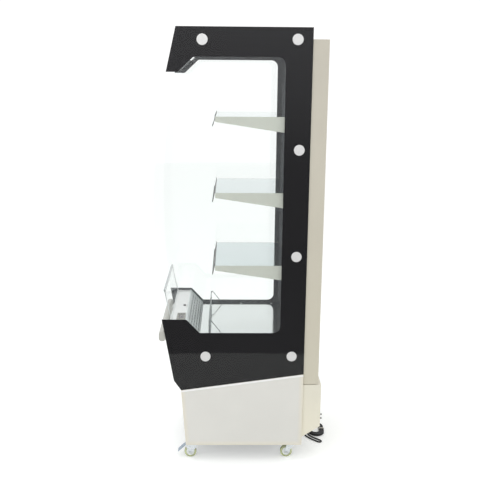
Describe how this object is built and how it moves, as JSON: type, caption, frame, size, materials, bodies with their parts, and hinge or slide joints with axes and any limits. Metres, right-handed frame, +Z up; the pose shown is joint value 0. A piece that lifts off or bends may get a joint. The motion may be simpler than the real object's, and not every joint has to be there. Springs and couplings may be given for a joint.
{
  "type": "refrigerated display case",
  "caption": "Slim open-fronted chilled display case on castors, with clear sides, shelves, a guard glass, an air duct and a cooling unit in the base.",
  "frame": {"origin": "on the floor under the middle of the case, measured without the mains lead", "axes": "+Z up, the open front faces -Y, +X to the right when facing the back from the front"},
  "size_m": [0.462, 0.7267, 1.745],
  "materials": {
    "side_glass": "clear, with a glossy black enamel border on three edges",
    "cap_metal": "satin",
    "liner": "satin white",
    "white_panel": "semi-gloss white",
    "bumper": "satin anodised",
    "canopy_panel": "semi-gloss white",
    "air_grid": "satin grey",
    "lamp_diffuser": "opal",
    "controller_case": "satin grey-beige",
    "button_key": "matte",
    "switch_rocker": "glossy",
    "return_grille": "satin pale grey",
    "guard_glass": "clear",
    "trim_metal": "polished",
    "deck_metal": "polished",
    "screw_metal": "polished",
    "wire": "bright plated",
    "duct_panel": "semi-gloss white",
    "standard_metal": "satin pale grey",
    "bracket_metal": "satin pale grey",
    "price_strip": "clear grey",
    "casing_panel": "satin warm grey",
    "cover_panel": "satin cream",
    "base_panel": "satin white",
    "tray_metal": "galvanised",
    "castor_metal": "white plated",
    "wheel_tread": "satin translucent yellow-green",
    "pedal": "satin bluish grey",
    "coil_metal": "finned",
    "fan_plastic": "satin",
    "shroud": "satin",
    "compressor_shell": "satin black",
    "pipe_copper": "bare copper",
    "drain_plastic": "satin",
    "box_plastic": "satin",
    "cord_fitting": "satin black",
    "cord_jacket": "satin black",
    "tie_plastic": "satin white"
  },
  "bodies": {
    "case": {"base_front_grille": "base_panel", "base_side_left": "base_panel", "base_side_right": "base_panel", "base_tray": "tray_metal", "bumper_bar": "bumper", "canopy": "canopy_panel", "castor_plates": "castor_metal", "compressor": "compressor_shell", "condenser": "coil_metal", "condenser_shroud": "shroud", "control_cap": "white_panel", "controller": "controller_case", "cord_gland": "cord_fitting", "cord_hank": "cord_jacket", "cord_tie": "tie_plastic", "deck": "deck_metal", "deck_screws": "screw_metal", "discharge_grid": "air_grid", "drain_tray": "drain_plastic", "duct_panel": "duct_panel", "electrical_box": "box_plastic", "evaporator": "coil_metal", "fan_bulkhead": "tray_metal", "front_panel": "white_panel", "glass_caps": "cap_metal", "guard_glass": "guard_glass", "guard_trim": "trim_metal", "insulated_body": "liner", "led_lamp": "lamp_diffuser", "mains_plug": "cord_fitting", "power_cord": "cord_jacket", "price_strips": "price_strip", "rear_casing": "casing_panel", "rear_lower_cover": "cover_panel", "refrigerant_pipes": "pipe_copper", "return_grille": "return_grille", "shelf_1": "deck_metal", "shelf_2": "deck_metal", "shelf_3": "deck_metal", "shelf_brackets": "bracket_metal", "shelf_standards": "standard_metal", "side_glass_left": "side_glass", "side_glass_right": "side_glass", "wire_fence": "wire"},
    "castor_front_left": {"fork_front_left": "castor_metal"},
    "castor_front_right": {"fork_front_right": "castor_metal"},
    "castor_rear_left": {"fork_rear_left": "castor_metal"},
    "castor_rear_right": {"fork_rear_right": "castor_metal"},
    "roller_front_left": {"wheel_front_left": "wheel_tread"},
    "roller_front_right": {"wheel_front_right": "wheel_tread"},
    "roller_rear_left": {"wheel_rear_left": "wheel_tread"},
    "roller_rear_right": {"wheel_rear_right": "wheel_tread"},
    "brake_front_left": {"brake_pedal_front_left": "pedal"},
    "brake_front_right": {"brake_pedal_front_right": "pedal"},
    "cold_fan": {"evaporator_fan": "fan_plastic"},
    "warm_fan": {"condenser_fan": "fan_plastic"},
    "key_set": {"button_set": "button_key"},
    "key_up": {"button_up": "button_key"},
    "key_down": {"button_down": "button_key"},
    "lamp_rocker": {"light_switch": "switch_rocker"}
  },
  "joints": [
    {"name": "swivel_front_left", "type": "hinge", "parent": "case", "child": "castor_front_left", "pos_m": [-0.186, -0.183, 0.068], "axis": [0, 0, 1], "continuous": true},
    {"name": "roll_front_left", "type": "hinge", "parent": "castor_front_left", "child": "roller_front_left", "pos_m": [-0.186, -0.203, 0.025], "axis": [1, 0, 0], "continuous": true},
    {"name": "swivel_front_right", "type": "hinge", "parent": "case", "child": "castor_front_right", "pos_m": [0.186, -0.183, 0.068], "axis": [0, 0, 1], "continuous": true},
    {"name": "roll_front_right", "type": "hinge", "parent": "castor_front_right", "child": "roller_front_right", "pos_m": [0.186, -0.203, 0.025], "axis": [1, 0, 0], "continuous": true},
    {"name": "swivel_rear_left", "type": "hinge", "parent": "case", "child": "castor_rear_left", "pos_m": [-0.186, 0.221, 0.068], "axis": [0, 0, 1], "continuous": true},
    {"name": "roll_rear_left", "type": "hinge", "parent": "castor_rear_left", "child": "roller_rear_left", "pos_m": [-0.186, 0.201, 0.025], "axis": [1, 0, 0], "continuous": true},
    {"name": "swivel_rear_right", "type": "hinge", "parent": "case", "child": "castor_rear_right", "pos_m": [0.186, 0.221, 0.068], "axis": [0, 0, 1], "continuous": true},
    {"name": "roll_rear_right", "type": "hinge", "parent": "castor_rear_right", "child": "roller_rear_right", "pos_m": [0.186, 0.201, 0.025], "axis": [1, 0, 0], "continuous": true},
    {"name": "brake_front_left_hinge", "type": "hinge", "parent": "castor_front_left", "child": "brake_front_left", "pos_m": [-0.186, -0.218, 0.054], "axis": [1, 0, 0], "range_deg": [0, 15]},
    {"name": "brake_front_right_hinge", "type": "hinge", "parent": "castor_front_right", "child": "brake_front_right", "pos_m": [0.186, -0.218, 0.054], "axis": [1, 0, 0], "range_deg": [0, 15]},
    {"name": "cold_fan_spin", "type": "hinge", "parent": "case", "child": "cold_fan", "pos_m": [0, -0.118, 0.466], "axis": [0, 1, 0], "continuous": true},
    {"name": "warm_fan_spin", "type": "hinge", "parent": "case", "child": "warm_fan", "pos_m": [0, -0.136, 0.182], "axis": [0, 1, 0], "continuous": true},
    {"name": "key_set_press", "type": "slide", "parent": "case", "child": "key_set", "axis": [0, 0, -1], "range_m": [0, 0.0012], "stiffness_N_per_m": 400},
    {"name": "key_up_press", "type": "slide", "parent": "case", "child": "key_up", "axis": [0, 0, -1], "range_m": [0, 0.0012], "stiffness_N_per_m": 400},
    {"name": "key_down_press", "type": "slide", "parent": "case", "child": "key_down", "axis": [0, 0, -1], "range_m": [0, 0.0012], "stiffness_N_per_m": 400},
    {"name": "lamp_rocker_tilt", "type": "hinge", "parent": "case", "child": "lamp_rocker", "pos_m": [0.013, -0.232, 0.6126], "axis": [0, 1, 0], "range_deg": [-4, 4]}
  ]
}
